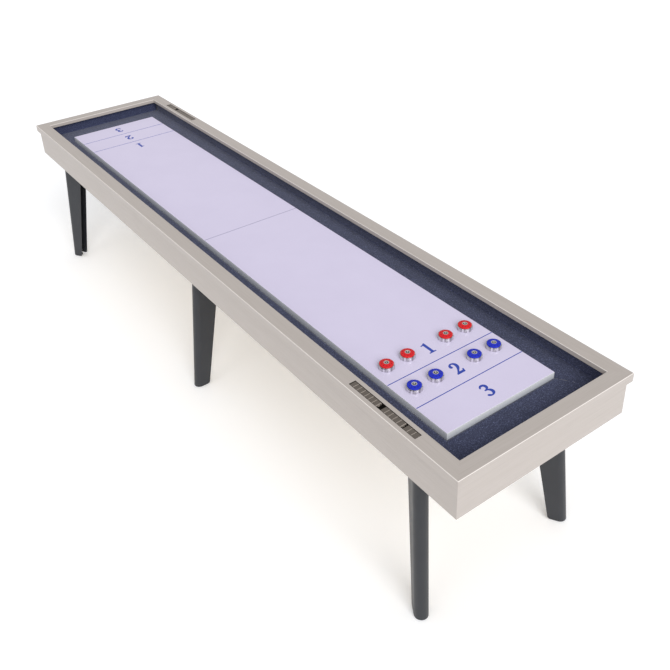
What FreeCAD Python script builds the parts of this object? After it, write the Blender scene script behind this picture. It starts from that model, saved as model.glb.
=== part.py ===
"""A full-length shuffleboard table: a mitred cabinet round a raised playfield, a carpeted gutter on
all four sides, sliding-tile scorers let into the rails, six splayed channel legs on levelling feet,
and two teams of four weights standing at one end.

Frame: millimetres, +Z up, origin on the floor at the middle of the table. +X runs along the table
to the end where the weights stand. "near" is the +X end and "far" is the -X end; "left" is the -Y
side and "right" is the +Y side.
"""
import FreeCAD
import Part

import math
import os

import Sketcher

os.makedirs("parts", exist_ok=True)
doc = FreeCAD.newDocument("ShuffleboardTable")
Vec = FreeCAD.Vector

# ---------------------------------------------------------------------------------------------
# Driving dimensions
# ---------------------------------------------------------------------------------------------
DRIVING = [
    ("overall_length", 3658, "outside of the cap rails, along X: twelve feet"),
    ("overall_width", 803, "outside of the cap rails, along Y"),
    ("overall_height", 822, "floor to the top of the cap rails"),
    ("side_cap_width", 63.5, "cap rail along the sides"),
    ("end_cap_width", 61, "cap rail across the ends"),
    ("cap_board", 19, "cap rail over the panels and the gutter"),
    ("cap_drop", 35, "cap rail at its outer edge, where it laps the panels"),
    ("cap_overhang", 12.5, "cap rail proud of the panels"),
    ("cap_round", 2.5, "round-over on the cap rail's top edges"),
    ("panel_thick", 25, "cabinet side and end panels"),
    ("panel_drop", 124.5, "playfield top down to the bottom of the panels"),
    ("side_gutter", 86.5, "playfield to cap rail, along the sides"),
    ("end_gutter", 147, "playfield to cap rail, at the ends"),
    ("rail_above_play", 50, "playfield top up to the top of the cap rails"),
    ("play_thick", 31, "playfield slab"),
    ("play_edge_round", 1.5, "round on the playfield's top edges"),
    ("carpet_thick", 3, "gutter carpet"),
    ("deck_thick", 18, "plywood deck under the playfield and gutters"),
    ("leg_board_length", 390, "plywood board over each pair of legs, along X"),
    ("leg_board_thick", 18, "the same board's thickness"),
    ("bearer_width", 38, "timber cross bearer, along X"),
    ("bearer_spread", 120, "bearer to the middle of its leg board"),
    ("corner_block", 45, "glue block's two short sides"),
    ("leg_width", 54, "leg channel across its round nose"),
    ("leg_depth_top", 128, "leg channel from nose to open back, at the top"),
    ("leg_depth_foot", 68, "the same, at the bottom"),
    ("leg_wall", 3, "leg channel's steel"),
    ("leg_splay", 70, "how far the nose leans out from top to bottom"),
    ("leg_toe_out", 31, "corner legs' noses, degrees off the table's length"),
    ("leg_corner_round", 14, "round on the open back's bottom corners"),
    ("corner_leg_inset", 236, "corner leg's nose centre to the end panel's outer face"),
    ("corner_leg_gap", 11, "corner leg's nose to the side panel's inner face"),
    ("middle_leg_gap", 34, "middle leg's nose to the side panel's inner face"),
    ("leg_recess", 2, "leg tops above the bottom of the panels"),
    ("leg_floor_gap", 6, "leg bottoms above the floor, with the feet screwed in"),
    ("leg_plate", 4, "steel plate welded on a leg's top"),
    ("leg_plate_tab", 44, "that plate behind the channel's open back"),
    ("bolt_size", 8, "leg bolt's shank"),
    ("bolt_head_flats", 13, "leg bolt's head across its flats"),
    ("bolt_head_high", 5.3, "leg bolt's head"),
    ("bolt_clearance", 0.2, "round a leg bolt's shank, all round"),
    ("bolt_edge", 9, "a leg bolt's middle to the channel's wall"),
    ("front_bolt_back", 15, "front bolts behind the nose centre"),
    ("foot_plate", 4, "plate across the channel that holds the levelling foot"),
    ("foot_plate_up", 26, "that plate above the bottom of the leg"),
    ("foot_nut_size", 17, "round nut welded on the foot plate"),
    ("foot_nut_high", 9, "the same nut's height"),
    ("foot_pad_size", 38, "levelling foot's pad"),
    ("foot_pad_high", 8, "the same pad's height"),
    ("foot_stem_size", 10, "levelling foot's screw"),
    ("foot_shank_size", 14, "levelling foot's plain shank under the plate"),
    ("foot_stem_spare", 12, "screw above its nut"),
    ("foot_back", 3, "levelling foot behind the nose centre"),
    ("thread_clearance", 0.05, "round a screw or a rod in its hole, all round"),
    ("scorer_length", 340, "scorer's slot along the rail"),
    ("scorer_width", 29, "scorer's slot across the rail"),
    ("slot_floor", 3, "cap rail left under a scorer's slot"),
    ("scorer_inset", 211, "scorer's slot to the rail's outer end"),
    ("tray_wall", 1, "scorer tray's wall and floor"),
    ("tray_clearance", 0.15, "scorer tray in its slot, all round"),
    ("scorer_play", 33.7, "empty length that a scorer's tiles slide in"),
    ("tile_lift", 3.3, "scorer tile above its tray's floor"),
    ("tile_side_clearance", 0.6, "scorer tile to its tray, each side"),
    ("tile_gap", 0.4, "between two tiles that touch in play"),
    ("tile_below_rail", 1.2, "scorer tile's top below the rail's top"),
    ("tile_edge", 1.6, "bevel on a tile's long top edges"),
    ("rod_size", 3, "scorer rod"),
    ("rod_pair", 14, "between a scorer's two rods"),
    ("puck_size", 58.7, "weight's steel body"),
    ("puck_steel_high", 16, "weight's steel body, without its boss"),
    ("puck_edge", 0.8, "bevel on the steel body's edges"),
    ("puck_boss_size", 16, "threaded boss that the cap screws on"),
    ("puck_boss_high", 3, "the same boss's height"),
    ("puck_cap_size", 52, "weight's plastic cap"),
    ("puck_cap_rim", 4, "cap's height at its rim"),
    ("puck_cap_rise", 3, "cap's middle above its rim"),
    ("puck_badge_size", 20.5, "recess in the cap's middle"),
    ("puck_badge_deep", 0.6, "the same recess's depth"),
    ("puck_grip_ring", 18.5, "grip dimples' ring, radius"),
    ("puck_grip_size", 3.2, "a grip dimple"),
    ("puck_grip_deep", 0.8, "the same dimple's depth"),
    ("red_row", 382.5, "red weights' centres to the playfield's near end"),
    ("blue_row", 232, "blue weights' centres to the playfield's near end"),
    ("inner_lane", 92, "inner weights' centres to the table's centre line"),
    ("outer_lane", 189, "outer weights' centres to the table's centre line"),
]
GRIP_DIMPLES = 10
FIRST_TILES = 7
MIDDLE_TILES = 5
LAST_TILES = 3
TILES = FIRST_TILES + MIDDLE_TILES + LAST_TILES

dims = doc.addObject("Spreadsheet::Sheet", "Dims")
for row, (alias, size, meaning) in enumerate(DRIVING, start=1):
    dims.set(f"A{row}", str(size))
    dims.setAlias(f"A{row}", alias)
    dims.set(f"B{row}", meaning)
doc.recompute()

# Places that several pieces share, each worked out once from the driving dimensions.
WORKED_OUT = [
    ("out_x", "Dims.overall_length / 2", "outer face of the end cap rails"),
    ("out_y", "Dims.overall_width / 2", "outer face of the side cap rails"),
    ("mouth_x", "out_x - Dims.end_cap_width", "inner face of the end cap rails"),
    ("mouth_y", "out_y - Dims.side_cap_width", "inner face of the side cap rails"),
    ("face_x", "out_x - Dims.cap_overhang", "outer face of the end panels"),
    ("face_y", "out_y - Dims.cap_overhang", "outer face of the side panels"),
    ("room_x", "face_x - Dims.panel_thick", "inner face of the end panels"),
    ("room_y", "face_y - Dims.panel_thick", "inner face of the side panels"),
    ("play_x", "mouth_x - Dims.end_gutter", "end of the playfield"),
    ("play_y", "mouth_y - Dims.side_gutter", "side of the playfield"),
    ("rail_top", "Dims.overall_height", "top of the cap rails"),
    ("panel_top", "rail_top - Dims.cap_board", "top of the panels"),
    ("drop_bottom", "rail_top - Dims.cap_drop", "bottom of the cap rails' outer edge"),
    ("play_top", "rail_top - Dims.rail_above_play", "top of the playfield"),
    ("deck_top", "play_top - Dims.play_thick", "top of the deck"),
    ("deck_bottom", "deck_top - Dims.deck_thick", "bottom of the deck"),
    ("carpet_top", "deck_top + Dims.carpet_thick", "gutter's floor"),
    ("carpet_x", "room_x - Dims.carpet_thick", "carpeted face of the end walls"),
    ("carpet_y", "room_y - Dims.carpet_thick", "carpeted face of the side walls"),
    ("panel_bottom", "play_top - Dims.panel_drop", "bottom of the panels"),
    ("leg_top", "panel_bottom + Dims.leg_recess", "top of the leg channels"),
    ("leg_high", "leg_top - Dims.leg_floor_gap", "height of a leg channel"),
    ("board_bottom", "leg_top + Dims.leg_plate", "bottom of the leg boards"),
    ("board_top", "board_bottom + Dims.leg_board_thick", "top of the leg boards"),
    ("board_x", "room_x - Dims.leg_board_length / 2", "middle of an end leg board"),
    ("bearer_high", "deck_bottom - board_top", "height of a cross bearer"),
    ("nose_out", "Dims.leg_width / 2", "leg nose's outer radius"),
    ("nose_in", "nose_out - Dims.leg_wall", "leg nose's inner radius"),
    ("bolt_line", "nose_in - Dims.bolt_edge", "leg bolts off the leg's middle"),
    ("back_top", "Dims.leg_depth_top - nose_out", "nose centre to the open back, at the top"),
    ("back_foot", "Dims.leg_depth_foot - nose_out", "the same at the bottom"),
    ("back_lean", "atan((back_top + Dims.leg_splay - back_foot) / leg_high) / 1deg",
     "lean of a leg's open back, in degrees"),
    ("corner_leg_x", "face_x - Dims.corner_leg_inset", "corner leg's nose centre, along X"),
    ("corner_leg_y", "room_y - Dims.corner_leg_gap - nose_out", "the same, along Y"),
    ("middle_leg_y", "room_y - Dims.middle_leg_gap - nose_out", "middle leg's nose centre"),
    ("slot_x", "out_x - Dims.scorer_inset - Dims.scorer_length / 2", "middle of a scorer"),
    ("slot_y", "out_y - Dims.side_cap_width / 2", "middle of a scorer, across"),
    ("slot_half_x", "Dims.scorer_length / 2", "half a scorer's slot"),
    ("slot_half_y", "Dims.scorer_width / 2", "the same, across"),
    ("tray_half_x", "slot_half_x - Dims.tray_clearance", "half a scorer's tray"),
    ("tray_half_y", "slot_half_y - Dims.tray_clearance", "the same, across"),
    ("tray_inside_x", "tray_half_x - Dims.tray_wall", "half the inside of a tray"),
    ("scorer_depth", "Dims.cap_board - Dims.slot_floor", "scorer's slot below the rail's top"),
    ("tray_bottom", "rail_top - scorer_depth", "underside of a scorer's tray"),
    ("tile_pitch", f"(2 * tray_inside_x - Dims.scorer_play) / {TILES}", "one tile to the next"),
    ("tile_length", "tile_pitch - Dims.tile_gap", "scorer tile along the rail"),
    ("tile_high", "scorer_depth - Dims.tray_wall - Dims.tile_lift - Dims.tile_below_rail",
     "scorer tile's height"),
    ("tile_half_y", "tray_half_y - Dims.tray_wall - Dims.tile_side_clearance", "half a tile"),
    ("tile_top", "rail_top - Dims.tile_below_rail", "top of the tiles"),
    ("rod_up", "tile_top - tile_high / 2", "height of the scorer rods"),
    ("cap_bottom", "play_top + Dims.puck_steel_high", "underside of a weight's cap"),
]
places = doc.addObject("Spreadsheet::Sheet", "Places")
for row, (alias, formula, meaning) in enumerate(WORKED_OUT, start=1):
    places.set(f"A{row}", "=" + formula)
    places.setAlias(f"A{row}", alias)
    places.set(f"B{row}", meaning)
doc.recompute()

WHERE = {alias: "Dims." + alias for alias, _, _ in DRIVING}
WHERE.update({alias: "Places." + alias for alias, _, _ in WORKED_OUT})


def value(name):
    """The number that a named size or place holds; a leading minus turns its sign."""
    if name.startswith("-"):
        return -value(name[1:])
    sheet = dims if WHERE[name].startswith("Dims.") else places
    return float(getattr(sheet, name))


def cell(name):
    """The same name, as an expression that stays tied to its cell."""
    return "-" + WHERE[name[1:]] if name.startswith("-") else WHERE[name]


def tie(piece, **expressions):
    """Bind properties of a piece to formulas of named cells, written with Dims. and Places."""
    for prop, formula in expressions.items():
        piece.setExpression(prop, formula)
    return piece


def put(piece, x="0", y="0", z="0", turn=None):
    """Place a piece by formulas, and turn it about the vertical by a formula in degrees."""
    piece.Placement = FreeCAD.Placement(Vec(), FreeCAD.Rotation(Vec(0, 0, 1), 0))
    piece.setExpression(".Placement.Base.x", x)
    piece.setExpression(".Placement.Base.y", y)
    piece.setExpression(".Placement.Base.z", z)
    if turn is not None:
        piece.setExpression(".Placement.Rotation.Angle", turn)
    return piece


# ---------------------------------------------------------------------------------------------
# Ways to make a piece
# ---------------------------------------------------------------------------------------------
subparts = []


def keep(piece, label):
    """Name a finished piece as a sub-part of the table."""
    piece.Label = label
    subparts.append(piece)
    return piece


def new_body(name):
    return doc.addObject("PartDesign::Body", name + "_body")


def plane(body, role):
    return next(item for item in body.Origin.OriginFeatures if item.Role == role)


def new_sketch(body, name, role="XY_Plane", lift=None):
    """A sketch on one of the body's own origin planes, lifted off it by a formula."""
    sketch = body.newObject("Sketcher::SketchObject", name)
    sketch.AttachmentSupport = (plane(body, role), [""])
    sketch.MapMode = "FlatFace"
    if lift is not None:
        sketch.setExpression(".AttachmentOffset.Base.z", lift)
    return sketch


def pin_point(sketch, geometry, vertex, x, y):
    """Hold one point of a sketch at two named places."""
    for kind, name in (("DistanceX", x), ("DistanceY", y)):
        number = sketch.addConstraint(
            Sketcher.Constraint(kind, -1, 1, geometry, vertex, value(name)))
        sketch.setExpression(f"Constraints[{number}]", cell(name))


def outline(body, name, corners, role="XY_Plane", lift=None):
    """A closed sketch of straight lines whose corners are pairs of named places."""
    sketch = new_sketch(body, name, role, lift)
    points = [Vec(value(x), value(y), 0) for x, y in corners]
    count = len(points)
    for index in range(count):
        sketch.addGeometry(Part.LineSegment(points[index], points[(index + 1) % count]))
    for index in range(count):
        sketch.addConstraint(
            Sketcher.Constraint("Coincident", index, 2, (index + 1) % count, 1))
    for index, (x, y) in enumerate(corners):
        pin_point(sketch, index, 1, x, y)
    return sketch


def pad(body, name, sketch, length):
    feature = body.newObject("PartDesign::Pad", name)
    feature.Profile = sketch
    tie(feature, Length=length)
    return feature


def box(name, low, high):
    """A block between two corners, each three formulas."""
    block = doc.addObject("Part::Box", name)
    tie(block, Length=f"({high[0]}) - ({low[0]})", Width=f"({high[1]}) - ({low[1]})",
        Height=f"({high[2]}) - ({low[2]})")
    return put(block, *low)


def rod(name, size, length, x="0", y="0", z="0"):
    """An upright round bar of a given size, standing on a place."""
    bar = doc.addObject("Part::Cylinder", name)
    tie(bar, Radius=f"({size}) / 2", Height=length)
    return put(bar, x, y, z)


def fuse(name, *pieces):
    joined = doc.addObject("Part::MultiFuse", name)
    joined.Shapes = list(pieces)
    return joined


def cut(name, base, tool):
    result = doc.addObject("Part::Cut", name)
    result.Base = base
    result.Tool = tool
    return result


def group(name, pieces):
    """Like pieces that share a node, each still a solid of its own."""
    several = doc.addObject("Part::Compound", name)
    several.Links = list(pieces)
    return several


# ---------------------------------------------------------------------------------------------
# Cap rails: mitred boards with an outer edge that laps down over the panels
# ---------------------------------------------------------------------------------------------
SIDES = (("left", -1), ("right", 1))
ENDS = (("far", -1), ("near", 1))


def signed(name, sign):
    return name if sign > 0 else "-" + name


def mitred_side(x_out, x_in, y_out, y_in, sign):
    """Plan of a piece along a side, mitred into its neighbours at both ends."""
    return [("-" + x_out, signed(y_out, sign)), (x_out, signed(y_out, sign)),
            (x_in, signed(y_in, sign)), ("-" + x_in, signed(y_in, sign))]


def mitred_end(x_out, x_in, y_out, y_in, sign):
    """Plan of a piece across an end, mitred in the same way."""
    return [(signed(x_out, sign), "-" + y_out), (signed(x_out, sign), y_out),
            (signed(x_in, sign), y_in), (signed(x_in, sign), "-" + y_in)]


def top_edges(shape, level):
    """Names of the long straight edges that lie at one level and aren't a mitre's."""
    names = []
    for number, edge in enumerate(shape.Edges, start=1):
        flat = all(abs(corner.Z - level) < 1e-6 for corner in edge.Vertexes)
        first, last = edge.Vertexes[0].Point, edge.Vertexes[-1].Point
        along = abs(first.x - last.x) < 1e-6 or abs(first.y - last.y) < 1e-6
        if flat and along:
            names.append(f"Edge{number}")
    return names


def round_over(body, name, feature, level, radius):
    """Round the long edges of a body's feature that lie at a named level."""
    doc.recompute()
    edges = top_edges(feature.Shape, value(level))
    rounded = body.newObject("PartDesign::Fillet", name)
    rounded.Base = (feature, edges)
    tie(rounded, Radius=cell(radius))
    doc.recompute()
    return rounded


def cap_rail(label, plan, sign, scorer_sign=None):
    body = new_body(label)
    board = outline(body, label + "_board_plan",
                    plan("out_x", "mouth_x", "out_y", "mouth_y", sign), lift=cell("panel_top"))
    pad(body, label + "_board", board, cell("cap_board"))
    lap = outline(body, label + "_lap_plan",
                  plan("out_x", "face_x", "out_y", "face_y", sign), lift=cell("drop_bottom"))
    lapped = pad(body, label + "_lap", lap, f"{cell('panel_top')} - {cell('drop_bottom')}")
    rounded = round_over(body, label + "_round", lapped, "rail_top", "cap_round")
    if scorer_sign is not None:
        slot = new_sketch(body, label + "_slot_plan", lift=cell("rail_top"))
        along = value("slot_x") * scorer_sign
        across = value("slot_y") * sign
        half_x, half_y = value("slot_half_x"), value("slot_half_y")
        ring = [Vec(along - half_x, across - half_y, 0), Vec(along + half_x, across - half_y, 0),
                Vec(along + half_x, across + half_y, 0), Vec(along - half_x, across + half_y, 0)]
        for index in range(4):
            slot.addGeometry(Part.LineSegment(ring[index], ring[(index + 1) % 4]))
        for index in range(4):
            slot.addConstraint(Sketcher.Constraint("Coincident", index, 2, (index + 1) % 4, 1))
        for index in (0, 2):
            slot.addConstraint(Sketcher.Constraint("Horizontal", index))
            slot.addConstraint(Sketcher.Constraint("Vertical", index + 1))
        for kind, first, second, size, formula in (
                ("DistanceX", (-1, 1), (0, 1), ring[0].x,
                 f"{scorer_sign} * Places.slot_x - Places.slot_half_x"),
                ("DistanceY", (-1, 1), (0, 1), ring[0].y,
                 f"{sign} * Places.slot_y - Places.slot_half_y"),
                ("DistanceX", (0, 1), (0, 2), 2 * half_x, "2 * Places.slot_half_x"),
                ("DistanceY", (1, 1), (1, 2), 2 * half_y, "2 * Places.slot_half_y")):
            number = slot.addConstraint(Sketcher.Constraint(kind, *first, *second, size))
            slot.setExpression(f"Constraints[{number}]", formula)
        pocket = body.newObject("PartDesign::Pocket", label + "_slot")
        pocket.Profile = slot
        tie(pocket, Length=cell("scorer_depth"))
        doc.recompute()
        removed = rounded.Shape.Volume - pocket.Shape.Volume
        expected = value("scorer_length") * value("scorer_width") * value("scorer_depth")
        if abs(removed - expected) > 1:
            raise ValueError(f"{label}: the scorer's slot took {removed:.0f} mm3")
        body.Tip = pocket
    return keep(body, label)


cap_rail("cap_rail_left", mitred_side, -1, scorer_sign=1)
cap_rail("cap_rail_right", mitred_side, 1, scorer_sign=-1)
cap_rail("cap_rail_far", mitred_end, -1)
cap_rail("cap_rail_near", mitred_end, 1)

# ---------------------------------------------------------------------------------------------
# Cabinet: mitred panels, deck, cross bearers, leg boards and corner glue blocks
# ---------------------------------------------------------------------------------------------


def panel(label, plan, sign):
    body = new_body(label)
    flat = outline(body, label + "_plan", plan("face_x", "room_x", "face_y", "room_y", sign),
                   lift=cell("panel_bottom"))
    pad(body, label + "_pad", flat, f"{cell('panel_top')} - {cell('panel_bottom')}")
    return keep(body, label)


for side, sign in SIDES:
    panel("side_panel_" + side, mitred_side, sign)
for end, sign in ENDS:
    panel("end_panel_" + end, mitred_end, sign)

keep(box("deck_box", ("-Places.room_x", "-Places.room_y", "Places.deck_bottom"),
         ("Places.room_x", "Places.room_y", "Places.deck_top")), "deck")

playfield = new_body("playfield")
slab = pad(playfield, "playfield_slab",
           outline(playfield, "playfield_plan", [("-play_x", "-play_y"), ("play_x", "-play_y"),
                                                 ("play_x", "play_y"), ("-play_x", "play_y")],
                   lift=cell("deck_top")), cell("play_thick"))
round_over(playfield, "playfield_round", slab, "play_top", "play_edge_round")
keep(playfield, "playfield")

# Middles of the leg boards along X, with the sign of each end.
BOARD_MIDDLES = ("-Places.board_x", "0", "Places.board_x")
BEARER_MIDDLES = [f"{middle} + {sign} * Dims.bearer_spread"
                  for middle in BOARD_MIDDLES for sign in (-1, 1)]
BEARER_MIDDLES += ["-Places.board_x / 2", "Places.board_x / 2"]


def bearer(number, middle):
    return box(f"bearer_{number}",
               (f"{middle} - Dims.bearer_width / 2", "-Places.room_y", "Places.board_top"),
               (f"{middle} + Dims.bearer_width / 2", "Places.room_y", "Places.deck_bottom"))


keep(group("bearers", [bearer(*item) for item in enumerate(BEARER_MIDDLES)]), "cross_bearers")


def glue_block(name, x_sign, y_sign):
    """A three-cornered block in the corner between a side panel and an end panel."""
    wedge = doc.addObject("Part::Wedge", name)
    for prop in ("Xmin", "Ymin", "Zmin", "X2min", "Z2min", "X2max"):
        setattr(wedge, prop, 0)
    tie(wedge, Xmax="Dims.corner_block", Ymax="Dims.corner_block", Zmax="Places.bearer_high",
        Z2max="Places.bearer_high")
    quarter = {(-1, -1): 0, (1, -1): 90, (1, 1): 180, (-1, 1): 270}[(x_sign, y_sign)]
    return put(wedge, f"{x_sign} * Places.room_x", f"{y_sign} * Places.room_y",
               "Places.board_top", turn=str(quarter))


keep(group("glue_blocks", [glue_block(f"glue_block_{end}_{side}", x_sign, y_sign)
                           for end, x_sign in ENDS for side, y_sign in SIDES]), "corner_blocks")

# ---------------------------------------------------------------------------------------------
# Gutter carpet: each strip covers the gutter's floor and folds up its outer wall
# ---------------------------------------------------------------------------------------------


def band(inner, outer, sign):
    """Low and high ends of a stretch between two places, on one side of the table's middle."""
    return (inner, outer) if sign > 0 else ("-" + outer, "-" + inner)


for side, sign in SIDES:
    floor = band("Places.play_y", "Places.room_y", sign)
    wall = band("Places.carpet_y", "Places.room_y", sign)
    keep(fuse(f"carpet_{side}_strip",
              box(f"carpet_{side}_floor", ("-Places.room_x", floor[0], "Places.deck_top"),
                  ("Places.room_x", floor[1], "Places.carpet_top")),
              box(f"carpet_{side}_wall", ("-Places.room_x", wall[0], "Places.deck_top"),
                  ("Places.room_x", wall[1], "Places.panel_top"))), "gutter_carpet_" + side)

for end, sign in ENDS:
    floor = band("Places.play_x", "Places.room_x", sign)
    wall = band("Places.carpet_x", "Places.room_x", sign)
    keep(fuse(f"carpet_{end}_strip",
              box(f"carpet_{end}_floor", (floor[0], "-Places.play_y", "Places.deck_top"),
                  (floor[1], "Places.play_y", "Places.carpet_top")),
              box(f"carpet_{end}_wall", (wall[0], "-Places.carpet_y", "Places.carpet_top"),
                  (wall[1], "Places.carpet_y", "Places.panel_top")),
              box(f"carpet_{end}_fold", (wall[0], "-Places.play_y", "Places.deck_top"),
                  (wall[1], "Places.play_y", "Places.panel_top"))), "gutter_carpet_" + end)

# ---------------------------------------------------------------------------------------------
# Legs: tapered steel channels with a round nose that leans outwards, each with a welded top
# plate, four bolts up into a leg board, and a plate across the bottom for its levelling foot
# ---------------------------------------------------------------------------------------------
# Each leg: its end, its side, where its nose centre stands and which way its nose points.
LEGS = []
for side, sign in SIDES:
    facing = {"far": f"{sign} * (180 - Dims.leg_toe_out)", "middle": str(90 * sign),
              "near": f"{sign} * Dims.leg_toe_out"}
    for end, along in (("far", "-Places.corner_leg_x"), ("middle", "0"),
                       ("near", "Places.corner_leg_x")):
        inset = "middle_leg_y" if end == "middle" else "corner_leg_y"
        LEGS.append((f"{end}_{side}", along, f"{sign} * Places.{inset}", facing[end]))


def channel_section(body, name, lift, centre, back):
    """A U across a leg: a half-round nose facing +X, and two arms back to the open side."""
    sketch = new_sketch(body, name, lift=lift)
    nose, tail = centre[1], centre[1] - back[1]
    outer, inner = value("nose_out"), value("nose_in")
    quarter = math.pi / 2
    axis = Vec(0, 0, 1)
    middle = Vec(nose, 0, 0)
    sketch.addGeometry(Part.LineSegment(Vec(tail, -outer, 0), Vec(nose, -outer, 0)))
    sketch.addGeometry(Part.ArcOfCircle(Part.Circle(middle, axis, outer), -quarter, quarter))
    sketch.addGeometry(Part.LineSegment(Vec(nose, outer, 0), Vec(tail, outer, 0)))
    sketch.addGeometry(Part.LineSegment(Vec(tail, outer, 0), Vec(tail, inner, 0)))
    sketch.addGeometry(Part.LineSegment(Vec(tail, inner, 0), Vec(nose, inner, 0)))
    sketch.addGeometry(Part.ArcOfCircle(Part.Circle(middle, axis, inner), -quarter, quarter))
    sketch.addGeometry(Part.LineSegment(Vec(nose, -inner, 0), Vec(tail, -inner, 0)))
    sketch.addGeometry(Part.LineSegment(Vec(tail, -inner, 0), Vec(tail, -outer, 0)))
    joins = [(0, 2, 1, 1), (1, 2, 2, 1), (2, 2, 3, 1), (3, 2, 4, 1), (4, 2, 5, 2), (5, 1, 6, 1),
             (6, 2, 7, 1), (7, 2, 0, 1), (1, 3, 5, 3)]
    for join in joins:
        sketch.addConstraint(Sketcher.Constraint("Coincident", *join))
    for number in (0, 2, 4, 6):
        sketch.addConstraint(Sketcher.Constraint("Horizontal", number))
    for number in (3, 7):
        sketch.addConstraint(Sketcher.Constraint("Vertical", number))
    sketch.addConstraint(Sketcher.Constraint("Vertical", 1, 1, 1, 3))
    sketch.addConstraint(Sketcher.Constraint("Vertical", 5, 1, 5, 3))
    sketch.addConstraint(Sketcher.Constraint("Horizontal", 1, 3, -1, 1))
    sized = [("Radius", (1,), outer, cell("nose_out")), ("Radius", (5,), inner, cell("nose_in")),
             ("DistanceX", (-1, 1, 1, 3), nose, centre[0]),
             ("DistanceX", (0, 1, 0, 2), back[1], back[0])]
    for kind, where, size, formula in sized:
        number = sketch.addConstraint(Sketcher.Constraint(kind, *where, size))
        sketch.setExpression(f"Constraints[{number}]", formula)
    return sketch


# The round on the open back's bottom corners touches the leg's bottom and its leaning back.
TAIL = "(Dims.leg_splay - Places.back_foot)"
ROUND_X = f"({TAIL} + Dims.leg_corner_round / tan((90 + Places.back_lean) / 2 * 1deg))"
ROUND_Z = "(-Places.leg_high + Dims.leg_corner_round)"


def leg_channel(name):
    """The channel hangs below its body's origin, which is the nose's centre at the top."""
    body = new_body("leg_" + name)
    foot = channel_section(body, f"leg_{name}_foot", "-Places.leg_high",
                           (cell("leg_splay"), value("leg_splay")),
                           (cell("back_foot"), value("back_foot")))
    head = channel_section(body, f"leg_{name}_head", None, ("0", 0.0),
                           (cell("back_top"), value("back_top")))
    loft = body.newObject("PartDesign::AdditiveLoft", f"leg_{name}_loft")
    loft.Profile = foot
    loft.Sections = [head]
    loft.Ruled = True
    tag = f"leg_{name}_corner"
    block = box(tag + "_block", (f"{TAIL} - Dims.leg_depth_foot", "-Dims.leg_width",
                                 "-Places.leg_high - Dims.leg_corner_round"),
                (ROUND_X, "Dims.leg_width",
                 f"{ROUND_Z} - Dims.leg_corner_round * sin(Places.back_lean * 1deg)"))
    drum = doc.addObject("Part::Cylinder", tag + "_drum")
    tie(drum, Radius="Dims.leg_corner_round", Height="4 * Dims.leg_width")
    drum.Placement = FreeCAD.Placement(Vec(), FreeCAD.Rotation(Vec(1, 0, 0), 90))
    drum.setExpression(".Placement.Base.x", ROUND_X)
    drum.setExpression(".Placement.Base.y", "2 * Dims.leg_width")
    drum.setExpression(".Placement.Base.z", ROUND_Z)
    return cut(f"leg_{name}_whole", body, cut(tag, block, drum))


def stand(piece, along, across, facing, drop="0"):
    """Put a piece made round a leg's own origin on that leg."""
    return put(piece, along, across, f"Places.leg_top - ({drop})", turn=facing)


# Bolt places in a leg's own plan: two inside the channel, two on the tab behind it.
BOLT_PLACES = [(along, f"{sign} * Places.bolt_line")
               for along in ("-Dims.front_bolt_back",
                             "-(Places.back_top + Dims.leg_plate_tab / 2)") for sign in (-1, 1)]
HOLE = "Dims.bolt_size + 2 * Dims.bolt_clearance"


def top_plate(name):
    tag = "top_plate_" + name
    tab = box(tag + "_tab", ("-(Places.back_top + Dims.leg_plate_tab)", "-Places.nose_out", "0"),
              ("0", "Places.nose_out", "Dims.leg_plate"))
    nose = rod(tag + "_nose", "Dims.leg_width", "Dims.leg_plate")
    blank = fuse(tag + "_blank", tab, nose)
    holes = group(tag + "_holes", [rod(f"{tag}_hole_{number}", HOLE, "Dims.leg_plate", x, y)
                                   for number, (x, y) in enumerate(BOLT_PLACES)])
    return cut(tag, blank, holes)


def bolt(tag, x, y):
    head = doc.addObject("Part::Prism", tag + "_head")
    head.Polygon = 6
    tie(head, Circumradius="Dims.bolt_head_flats / sqrt(3)", Height="Dims.bolt_head_high")
    put(head, x, y, "-Dims.bolt_head_high")
    shank = rod(tag + "_shank", "Dims.bolt_size", "Dims.leg_plate + Dims.leg_board_thick", x, y)
    return fuse(tag, head, shank)


def foot_plate(name):
    """The plate spans the arms, with a welded nut on top and the screw's hole through both."""
    tag = "foot_plate_" + name
    plate = box(tag + "_flat",
                ("Dims.leg_splay - Places.back_foot + Dims.leg_corner_round", "-Places.nose_in",
                 "0"), ("Dims.leg_splay", "Places.nose_in", "Dims.foot_plate"))
    centre = "Dims.leg_splay - Dims.foot_back"
    nut = rod(tag + "_nut", "Dims.foot_nut_size", "Dims.foot_nut_high", centre, "0",
              "Dims.foot_plate")
    hole = rod(tag + "_hole", "Dims.foot_stem_size + 2 * Dims.thread_clearance",
               "Dims.foot_plate + Dims.foot_nut_high", centre)
    return cut(tag, fuse(tag + "_blank", plate, nut), hole)


def levelling_foot(name):
    """Pad, plain shank up to the foot plate, and the screw through its nut, from the floor up."""
    tag = "foot_" + name
    centre = "Dims.leg_splay - Dims.foot_back"
    plate_low = "(Dims.leg_floor_gap + Dims.foot_plate_up)"
    pad_disc = rod(tag + "_pad", "Dims.foot_pad_size", "Dims.foot_pad_high", centre)
    edge = doc.addObject("Part::Chamfer", tag + "_pad_edge")
    edge.Base = pad_disc
    doc.recompute()
    rim = next(number for number, item in enumerate(pad_disc.Shape.Edges, start=1)
               if item.Closed and item.CenterOfMass.z > value("foot_pad_high") - 1e-6)
    bevel = value("foot_pad_high") / 4
    edge.Edges = [(rim, bevel, bevel)]
    shank = rod(tag + "_shank", "Dims.foot_shank_size", f"{plate_low} - Dims.foot_pad_high",
                centre, "0", "Dims.foot_pad_high")
    stem = rod(tag + "_stem", "Dims.foot_stem_size",
               "Dims.foot_plate + Dims.foot_nut_high + Dims.foot_stem_spare", centre, "0",
               plate_low)
    return fuse(tag + "_whole", edge, shank, stem)


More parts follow.
